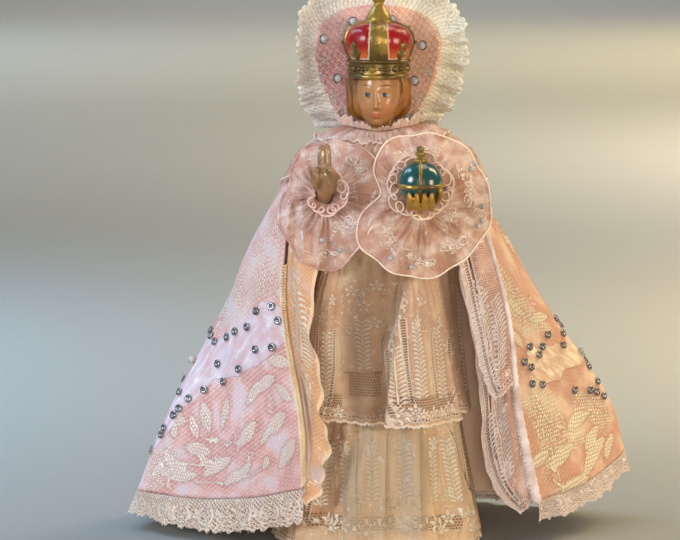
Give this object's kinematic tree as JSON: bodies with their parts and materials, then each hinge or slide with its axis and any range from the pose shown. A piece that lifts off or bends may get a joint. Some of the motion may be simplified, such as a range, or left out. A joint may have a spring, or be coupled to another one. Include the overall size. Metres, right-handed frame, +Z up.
{
  "type": "infant of prague statue",
  "caption": "Crowned child figure that blesses and holds an orb, dressed in a lace gown, wide flounced sleeves, a mantle and a tall standing collar.",
  "frame": {"origin": "middle of the plinth's flat underside, on the table", "axes": "+Z up; the face, the blessing hand and the orb look towards -Y; +X is the figure's left, the side of the orb"},
  "size_m": [0.37, 0.2239, 0.402],
  "materials": {
    "painted_plaster": "painted, glossy",
    "cream_lace": "corded lace over a peach lining",
    "peach_lace": "corded lace over a peach lining",
    "white_lace": "pleated white lace",
    "pink_net": "pink cloth under net lace",
    "chiffon": "thin, slightly glossy chiffon",
    "mantle_satin": "satin under corded lace",
    "pearl": "pearl coated"
  },
  "bodies": {
    "root": {"figure": "painted_plaster", "gown": "cream_lace", "upper_skirt": "peach_lace", "right_sleeve": "chiffon", "left_sleeve": "chiffon", "shoulder_ruffle": "chiffon", "neck_frill": "pink_net", "mantle": "mantle_satin", "mantle_hem_lace": "cream_lace", "right_front_lace": "peach_lace", "left_front_lace": "white_lace", "left_front_ruffle": "white_lace", "standing_collar": "pink_net", "collar_frill": "white_lace", "collar_pearl_1": "pearl", "collar_pearl_2": "pearl", "collar_pearl_3": "pearl", "collar_pearl_4": "pearl", "collar_pearl_5": "pearl", "collar_pearl_6": "pearl"}
  },
  "joints": []
}
